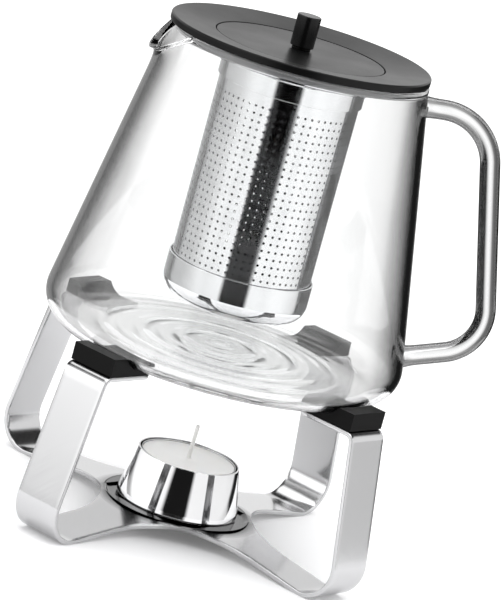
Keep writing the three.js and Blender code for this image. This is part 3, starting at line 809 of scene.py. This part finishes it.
# ---- Jug and handle -----------------------------------------------------------------------
HANDLE_TOP_DROP = 9.5 * MM  # from the rim down to the rod's upper end
HANDLE_FOOT_RISE = 16.1 * MM  # from the base up to its lower end
HANDLE_UPPER_CORNER = (26.2 * MM, 2.2 * MM)  # out from the wall and up from the end
HANDLE_LOWER_CORNER = (31.2 * MM, 10.7 * MM)
HANDLE_FOOT_DIP = 0.4 * MM
HANDLE_BENDS = (22 * MM, 17.4 * MM)
FLARE_LENGTH = 3.2 * MM
RIPPLE = ((0.22, 17 * MM), (0.16, 8 * MM))  # height in millimetres and spacing of the base's rings


def base_ripple(radius):
    """Shallow rings that the turning mould leaves in the base's inner face."""
    fade = max(0, 1 - radius / (CORNER_REACH * 1.02))
    return sum(height * math.cos(TAU * radius / spacing) for height, spacing in RIPPLE) * MM * fade**0.5


def jug_profile():
    outer = []
    for i in range(41):
        r = CORNER_REACH * i / 40
        outer.append((r, underside_height(r)))
    outer += arc(CORNER_REACH, CORNER_Z, CORNER_RADIUS, -math.pi / 2, CONE_LEAN, 24)[1:]
    start = outer[-1][1]
    wall_end = RIM_TOP - 2.4 * MM
    heights = [start + (wall_end - start) * (1 - (1 - i / 44) ** 1.3) for i in range(1, 45)]
    outer += [(wall_radius(z), z) for z in heights]
    bead = GLASS / 2 + RIM_BEAD
    rim = arc(wall_radius(RIM_TOP) - GLASS / 2, RIM_TOP - bead, bead, 0, math.pi, 16)
    inner = [(wall_radius(z) - GLASS, z) for z in reversed(heights)]
    inner_corner = arc(CORNER_REACH, CORNER_Z, CORNER_RADIUS - GLASS, CONE_LEAN, -math.pi / 2, 20)
    floor_edge = inner_corner[-1][1]
    floor = []
    for i in range(1, 81):
        r = CORNER_REACH * (1 - i / 80)
        share = i / 80
        base = underside_height(r) + BASE_GLASS
        blend = min(1, share * 5)
        z = floor_edge * (1 - blend) + base * blend
        floor.append((r, z + base_ripple(r) * blend))
    return outer + rim + inner + inner_corner + floor


def bend_spout(obj):
    """The lip: near the rim the wall moves out and down, most in the spout's own direction."""
    for v in obj.data.vertices:
        x, y, z = v.co.x - AXIS_X, v.co.y, v.co.z
        away = abs(math.atan2(y, -x)) / SPOUT_HALF_ANGLE
        up = (z - (RIM_TOP - SPOUT_HEIGHT)) / SPOUT_HEIGHT
        if away >= 1 or up <= 0:
            continue
        share = math.cos(away * math.pi / 2) ** 1.08
        grown = 1 + SPOUT_OUT * share * up**4 / math.hypot(x, y)
        v.co = (AXIS_X + x * grown, y * grown, z - SPOUT_DROP * share * up**3)


def rounded_line(corners, radii, steps=24):
    """A line through (x, z) corners, each inner one rounded by its own radius."""
    points = [Vector(corners[0])]
    for radius, corner, before, after in zip(radii, corners[1:], corners, corners[2:]):
        here = Vector(corner)
        a = (Vector(before) - here).normalized()
        b = (Vector(after) - here).normalized()
        half = math.acos(a.dot(b)) / 2
        centre = here + (a + b).normalized() * (radius / math.sin(half))
        start = here + a * (radius / math.tan(half))
        end = here + b * (radius / math.tan(half))
        first = math.atan2(start.y - centre.y, start.x - centre.x)
        turn = math.atan2(end.y - centre.y, end.x - centre.x) - first
        turn = (turn + math.pi) % TAU - math.pi
        points += [Vector(p) for p in arc(centre.x, centre.y, radius, first, first + turn, steps)]
    points.append(Vector(corners[-1]))
    return points


def build_glass():
    jug = revolve("glass_jug", jug_profile(), WALL_GLASS, closed=False, segments=224)
    bend_spout(jug)
    top_z = RIM_TOP - HANDLE_TOP_DROP
    foot_z = JUG_BOTTOM + HANDLE_FOOT_RISE
    inset = GLASS * 0.55
    line = rounded_line([
        (wall_radius(top_z) - inset, top_z),
        (wall_radius(top_z) + HANDLE_UPPER_CORNER[0], top_z + HANDLE_UPPER_CORNER[1]),
        (wall_radius(foot_z) + HANDLE_LOWER_CORNER[0], foot_z + HANDLE_LOWER_CORNER[1]),
        (wall_radius(foot_z) - inset, foot_z - HANDLE_FOOT_DIP),
    ], HANDLE_BENDS)
    dense = []
    for a, b in zip(line, line[1:]):
        pieces = max(1, round((b - a).length / (0.9 * MM)))
        dense += [a.lerp(b, i / pieces) for i in range(pieces)]
    dense.append(line[-1])
    path = [Vector((AXIS_X + p.x, 0, p.y)) for p in dense]

    def rod_radius(s, total):
        near = min(s, total - s)
        flare = 0.16 if s > total / 2 else 0.1
        return HANDLE_ROD / 2 * (1 + flare * math.exp(-((near / FLARE_LENGTH) ** 2)))

    rod = sweep("glass_rod", path, rod_radius, ROD_GLASS, sides=40)
    join = jug.modifiers.new("weld", "BOOLEAN")
    join.operation = "UNION"
    join.solver = "EXACT"
    join.material_mode = "TRANSFER"
    join.object = rod
    bpy.context.view_layer.update()
    graph = bpy.context.evaluated_depsgraph_get()
    welded = bpy.data.meshes.new_from_object(jug.evaluated_get(graph))
    jug.modifiers.clear()
    jug.data = welded
    bpy.data.objects.remove(rod)
    for face in jug.data.polygons:
        face.use_smooth = True
    return jug


glass = build_glass()
place(glass, "pot", "glass", "jug_body", "jug_handle")


# ---- Lid, seal, cover and knob ------------------------------------------------------------
lid_radius = half_width("lid_ring")
lid_bottom = RIM_TOP + 0.3 * MM
spigot_bottom = bottom("lid_ring")
spigot_radius = 45.8 * MM
cover_top = top("infuser_cover")
cover_radius = half_width("infuser_cover")
ledge = cover_top - 2.3 * MM
mouth = 26.5 * MM
seam = 0.42 * MM  # the gap seen between cover and lid
screw_hole = 1.8 * MM
lid = revolve("lid_disc", rounded([
    (mouth, spigot_bottom, 0.3 * MM),
    (spigot_radius, spigot_bottom, 0.3 * MM),
    (spigot_radius, lid_bottom, 0.2 * MM),
    (lid_radius, lid_bottom, 0.5 * MM),
    (lid_radius, LID_TOP, 0.7 * MM),
    (cover_radius + seam, cover_top + 0.12 * MM, 0.25 * MM),
    (cover_radius + seam, ledge, 0.2 * MM),
    (mouth, ledge, 0.3 * MM),
], closed=True), LID_BLACK, segments=192)
place(lid, "infuser", "lid_plastic", "lid_ring")

seal_low, seal_top = bottom("lid_seal"), top("lid_seal")
seal_out = half_width("lid_seal")
seal_in = spigot_radius + 0.1 * MM
seal = revolve("seal_ring", rounded([
    (seal_in, seal_low, 0.2 * MM),
    (seal_out - 0.5 * MM, seal_low, 0.6 * MM),
    (seal_out, seal_low + 1 * MM, 0.4 * MM),
    (seal_out - 0.8 * MM, seal_low + 1.5 * MM, 0.2 * MM),
    (seal_out - 0.3 * MM, seal_top, 0.3 * MM),
    (seal_in, seal_top, 0.2 * MM),
], closed=True, steps=4), SILICONE, segments=160)
place(seal, "infuser", "seal_silicone", "lid_seal")

plug_bottom = bottom("infuser_cover")
plug_radius = mouth - 0.3 * MM
plug_inside = plug_radius - 2 * MM
cover_low = cover_top - 2 * MM
cover = revolve("cover_disc", rounded([
    (screw_hole, cover_low, 0.1 * MM),
    (plug_inside, cover_low, 0.4 * MM),
    (plug_inside, plug_bottom, 0.5 * MM),
    (plug_radius, plug_bottom, 0.5 * MM),
    (plug_radius, cover_low, 0.4 * MM),
    (cover_radius, cover_low, 0.3 * MM),
    (cover_radius, cover_top, 0.3 * MM),
    (screw_hole, cover_top, 0.1 * MM),
], closed=True), LID_BLACK, segments=160)
place(cover, "cover", "lid_plastic", "infuser_cover")

knob_low, knob_top = bottom("lid_knob"), top("lid_knob")
knob_radius = half_width("lid_knob")
hole_top = knob_low + 8.3 * MM
knob = revolve("knob", rounded([
    (0, hole_top, 0),
    (screw_hole, hole_top, 0.1 * MM),
    (screw_hole, knob_low, 0.1 * MM),
    (knob_radius - 0.05 * MM, knob_low, 0.35 * MM),
    (knob_radius, knob_top, 0.4 * MM),
    (0, knob_top, 0),
], steps=6), KNOB_BLACK, closed=False, segments=96)
place(knob, "cover", "lid_plastic", "lid_knob")

low, high = bottom("knob_washer") - 0.25 * MM, top("knob_washer") + 0.25 * MM
washer_radius = 3.7 * MM
washer = revolve("washer", rounded([
    (screw_hole, low, 0.05 * MM), (washer_radius, low, 0.1 * MM),
    (washer_radius, high, 0.1 * MM), (screw_hole, high, 0.05 * MM)],
    closed=True, steps=3), PAD_BLACK, segments=64)
place(washer, "cover", "pad_rubber", "knob_washer")

low, high = bottom("knob_screw"), top("knob_screw")
shank, root, pitch = 1.5 * MM, 1.27 * MM, 0.5 * MM
socket_top, head_top = low + 0.7 * MM, low + 1.4 * MM
thread = []
z = cover_top - 1.9 * MM
while z < high - 0.6 * MM:
    thread += [(shank, z), (root, z + pitch / 2)]
    z += pitch
screw = revolve("screw", rounded([
    (0, socket_top, 0), (1.1 * MM, socket_top, 0.05 * MM), (1.1 * MM, low, 0.05 * MM),
    (2.8 * MM, low, 0.5 * MM), (2.8 * MM, head_top, 0.1 * MM), (shank, head_top, 0)],
    steps=3) + thread + [(1.2 * MM, high), (0, high)],
    INFUSER_STEEL, closed=False, segments=48)
place(screw, "cover", "satin_steel", "knob_screw")


# ---- Infuser ------------------------------------------------------------------------------
collar_low, collar_top = bottom("infuser_collar"), top("infuser_collar")
screen_radius = half_width("infuser_screen")
screen_wall = 0.6 * MM
collar_radius = screen_radius + 0.3 * MM + screen_wall
flange = half_width("infuser_collar")
bead_z = collar_top - 4.3 * MM
bead = [(collar_radius + 0.45 * MM * math.exp(-((t / (0.45 * MM)) ** 2)), bead_z + t)
        for t in [(-1.2 + 2.4 * i / 16) * MM for i in range(17)]]
collar_inside = collar_radius - screen_wall
flange_low = collar_top - 0.6 * MM
lower = rounded([(collar_radius - 0.5 * MM, collar_low + 0.1 * MM, 0),
                 (collar_radius - 0.55 * MM, collar_low, 0.1 * MM),
                 (collar_radius, collar_low, 0.25 * MM), (collar_radius, bead[0][1] - 0.5 * MM, 0)], steps=4)
upper = rounded([(collar_radius, bead[-1][1] + 0.2 * MM, 0), (collar_radius, flange_low, 0.4 * MM),
                 (flange, flange_low, 0.15 * MM), (flange, collar_top, 0.15 * MM),
                 (collar_inside, collar_top, 0.8 * MM), (collar_inside, collar_low + 0.5 * MM, 0)], steps=4)
collar = revolve("infuser_neck", lower + bead + upper, INFUSER_STEEL, segments=160)
place(collar, "infuser", "infuser_steel", "infuser_collar")

cup_low, cup_top = bottom("infuser_cup"), top("infuser_cup")
cup_radius = half_width("infuser_cup")
cup_corner = 9 * MM
cup = revolve("infuser_bowl", rounded([
    (0, cup_low + 0.25 * MM, 0),
    (cup_radius * 0.4, cup_low, 6 * MM),
    (cup_radius, cup_low, cup_corner),
    (cup_radius, cup_top, 0.2 * MM),
    (cup_radius - screen_wall, cup_top, 0.2 * MM),
    (cup_radius - screen_wall, cup_low + screen_wall, cup_corner - screen_wall),
    (cup_radius * 0.4, cup_low + screen_wall, 6 * MM),
    (0, cup_low + 0.25 * MM + screen_wall, 0),
], steps=16), INFUSER_STEEL, closed=False, segments=160)
place(cup, "infuser", "infuser_steel", "infuser_cup")

HOLE_RADIUS = 0.52 * MM
HOLE_COLUMNS = 62
HOLE_ROWS = 23


def build_screen():
    """A tube of square cells with a round hole in each, between two plain bands."""
    low, high = bottom("infuser_screen"), top("infuser_screen")
    first = cup_top + 1.9 * MM
    last = collar_low - 4.8 * MM
    pitch_z = (last - first) / (HOLE_ROWS - 1)
    pitch_a = TAU / HOLE_COLUMNS
    sides = 12
    turns = [math.pi / 4 + TAU * k / sides for k in range(sides)]
    verts, faces, lookup = [], [], {}

    def vertex(radius, angle, z):
        key = (round(radius * 1e7), round((angle % TAU) * 1e6) % round(TAU * 1e6), round(z * 1e8))
        if key not in lookup:
            lookup[key] = len(verts)
            verts.append((AXIS_X + radius * math.cos(angle), radius * math.sin(angle), z))
        return lookup[key]

    radii = (screen_radius, screen_radius - screen_wall)
    for row in range(HOLE_ROWS):
        z0 = first + row * pitch_z
        for column in range(HOLE_COLUMNS):
            a0 = column * pitch_a
            holes = []
            for radius in radii:
                edge, hole = [], []
                for t in turns:
                    c, s = math.cos(t), math.sin(t)
                    grow = 1 / max(abs(c), abs(s))
                    edge.append(vertex(radius, a0 + c * grow * pitch_a / 2, z0 + s * grow * pitch_z / 2))
                    hole.append(vertex(radius, a0 + c * HOLE_RADIUS / screen_radius, z0 + s * HOLE_RADIUS))
                faces += band(edge, hole)
                holes.append(hole)
            faces += band(*holes)
    # plain bands above and below, and the two ends
    third = math.tan(math.radians(15)) / 2  # share of the pitch from a cell edge's middle to its points
    marks = []
    for column in range(HOLE_COLUMNS):
        a0 = column * pitch_a
        marks += [a0 - pitch_a / 2, a0 - pitch_a * third, a0 + pitch_a * third]
    for start, goal in ((first - pitch_z / 2, low), (last + pitch_z / 2, high)):
        ends = []
        for radius in radii:
            levels = [start + (goal - start) * i / 3 for i in range(4)]
            rings = [[vertex(radius, a, z) for a in marks] for z in levels]
            for a, b in zip(rings, rings[1:]):
                faces += band(a, b)
            ends.append(rings[-1])
        faces += band(*ends)
    return new_object("infuser_sieve", verts, faces, INFUSER_STEEL)


screen = build_screen()
place(screen, "infuser", "infuser_steel", "infuser_screen")


# ---- Floor, light and camera --------------------------------------------------------------
def pale_floor():
    p = Paint("pale_floor", Roughness=0.6, Specular_IOR_Level=0.2,
              Emission_Color=(1, 1, 1, 1), Emission_Strength=0.12)
    p.tint(p.noise(3, 2), grey(0.94), grey(0.96))
    return p.material


FLOOR_RADIUS = 0.24
FLOOR_RINGS = 8


def build_floor():
    """A small round white table top under the object."""
    steps = 96
    rings = [list(range(i * steps, (i + 1) * steps)) for i in range(FLOOR_RINGS)]
    radii = [FLOOR_RADIUS * i / FLOOR_RINGS for i in range(1, FLOOR_RINGS + 1)]
    verts = [AXIS + Vector((r * math.cos(TAU * k / steps), r * math.sin(TAU * k / steps), 0))
             for r in radii for k in range(steps)]
    faces = [tuple(rings[0])]
    for a, b in zip(rings, rings[1:]):
        faces += band(a, b)
    return new_object("floor", verts, faces, pale_floor(), smooth=False)


floor = build_floor()

VIEW_AZIMUTH = math.radians(-99.4)  # from the axis towards the camera
VIEW_ELEVATION = math.radians(9.88)
VIEW_DISTANCE = 1.540
SENSOR_HEIGHT = 24.0
LENS = 160.0
PAN = math.radians(-0.27)  # from the lid's centre to the picture's, before the roll
TILT = math.radians(-3.7347)
ROLL = math.radians(15.36)

# Brightness of the surroundings by azimuth in degrees, 0 towards the camera and + to its right:
# above the horizon, below it, and well above it. OVERHEAD is the light from the top.
UPPER_CARDS = [(-180, 0.8), (-150, 0.8), (-110, 1.1), (-80, 1.7), (-60, 1.6), (-40, 1.25), (-26, 1.0),
               (-20, 0.01), (20, 0.01), (26, 1.0), (60, 1.0), (100, 0.95), (130, 0.85), (180, 0.8)]
LOWER_CARDS = [(-180, 0.8), (-175, 0.74), (-170, 0.6), (-164, 0.34), (-150, 0.22), (-128, 0.06), (-118, 0.4),
               (-98, 0.5), (-80, 0.66), (-60, 0.92), (-24, 1.1), (-18, 0.0), (18, 0.0), (24, 1.1), (80, 1.0),
               (110, 0.7), (119, 0.02), (158, 0.01), (166, 0.03), (170, 0.46), (175, 0.7), (180, 0.8)]
RAISED_CARDS = [(-180, 0.02), (-95, 0.02), (-75, 1.0), (-24, 1.0), (-18, 0.02), (18, 0.02), (24, 1.0),
                (75, 1.0), (95, 0.02), (180, 0.02)]
OVERHEAD = (2.1, 2.1, 2.1, 1)
# Heights of a direction, 0 level and 1 straight up, between which one set of cards gives way to the next.
HORIZON = (-0.02, 0.015)
RAISED_FROM = (0.5, 0.56)
OVERHEAD_FROM = (0.76, 0.84)
STUDIO_STRENGTH = 1.4


def studio_world():
    """Soft white light with dark cards set round the object. They stay put when the camera moves,
    and a ray straight from the camera sees plain white."""
    world = bpy.data.worlds.new("studio")
    bpy.context.scene.world = world
    world.use_nodes = True
    tree = world.node_tree
    made, links = tree.nodes, tree.links
    background = made["Background"]

    def maths(operation, a, b):
        node = made.new("ShaderNodeMath")
        node.operation = operation
        for socket, value in zip(node.inputs, (a, b)):
            if isinstance(value, (int, float)):
                socket.default_value = value
            else:
                links.new(value, socket)
        return node.outputs[0]

    def ramp(share, stops):
        node = made.new("ShaderNodeValToRGB")
        links.new(share, node.inputs["Fac"])
        elements = node.color_ramp.elements
        elements.remove(elements[1])
        for i, (angle, value) in enumerate(stops):
            element = elements[0] if i == 0 else elements.new((angle + 180) / 360)
            element.position = (angle + 180) / 360
            element.color = (value, value, value, 1)
        return node.outputs["Color"]

    def blend(share, first, second):
        node = made.new("ShaderNodeMix")
        node.data_type = "RGBA"
        links.new(share, node.inputs["Factor"])
        for name, value in (("A", first), ("B", second)):
            if isinstance(value, tuple):
                node.inputs[name].default_value = value
            else:
                links.new(value, node.inputs[name])
        return node.outputs["Result"]

    def between(value, low, high):
        node = made.new("ShaderNodeMapRange")
        links.new(value, node.inputs["Value"])
        node.inputs["From Min"].default_value = low
        node.inputs["From Max"].default_value = high
        return node.outputs["Result"]

    coords = made.new("ShaderNodeTexCoord").outputs["Generated"]
    turn = made.new("ShaderNodeVectorRotate")
    turn.rotation_type = "Z_AXIS"
    turn.inputs["Angle"].default_value = -VIEW_AZIMUTH
    links.new(coords, turn.inputs["Vector"])
    split = made.new("ShaderNodeSeparateXYZ")
    links.new(turn.outputs[0], split.inputs[0])
    azimuth = maths("ARCTAN2", split.outputs["Y"], split.outputs["X"])  # 0 towards the camera, + right
    share = maths("ADD", maths("DIVIDE", azimuth, TAU), 0.5)
    upper = ramp(share, UPPER_CARDS)
    lower = ramp(share, LOWER_CARDS)
    raised = ramp(share, RAISED_CARDS)
    height = split.outputs["Z"]
    shade = blend(between(height, *HORIZON), lower, upper)
    shade = blend(between(height, *RAISED_FROM), shade, raised)
    everywhere = blend(between(height, *OVERHEAD_FROM), shade, OVERHEAD)
    seen = made.new("ShaderNodeLightPath").outputs["Is Camera Ray"]
    links.new(blend(seen, everywhere, (1.0, 1.0, 1.0, 1)), background.inputs["Color"])
    background.inputs["Strength"].default_value = STUDIO_STRENGTH


def add_camera():
    camera = bpy.data.cameras.new("camera")
    obj = bpy.data.objects.new("camera", camera)
    bpy.context.scene.collection.objects.link(obj)
    bpy.context.scene.camera = obj
    camera.sensor_fit = "VERTICAL"
    camera.sensor_height = SENSOR_HEIGHT
    camera.lens = LENS
    camera.clip_start = 0.05
    camera.clip_end = 40
    towards = Vector((math.cos(VIEW_AZIMUTH) * math.cos(VIEW_ELEVATION),
                      math.sin(VIEW_AZIMUTH) * math.cos(VIEW_ELEVATION), math.sin(VIEW_ELEVATION)))
    aim = AXIS + Vector((0, 0, LID_TOP))
    place_at = aim + towards * VIEW_DISTANCE
    forward = -towards
    right = forward.cross(Vector((0, 0, 1))).normalized()
    up = right.cross(forward)
    pan = Matrix.Rotation(PAN, 3, up)
    forward, right = pan @ forward, pan @ right
    tilt = Matrix.Rotation(TILT, 3, right)
    forward, up = tilt @ forward, tilt @ up
    roll = Matrix.Rotation(ROLL, 3, -forward)
    right, up = roll @ right, roll @ up
    axes = Matrix((right, up, -forward)).transposed().to_4x4()
    obj.matrix_world = Matrix.Translation(place_at) @ axes


studio_world()
add_camera()
view_settings = bpy.context.scene.view_settings
view_settings.view_transform = "Standard"
view_settings.look = "None"
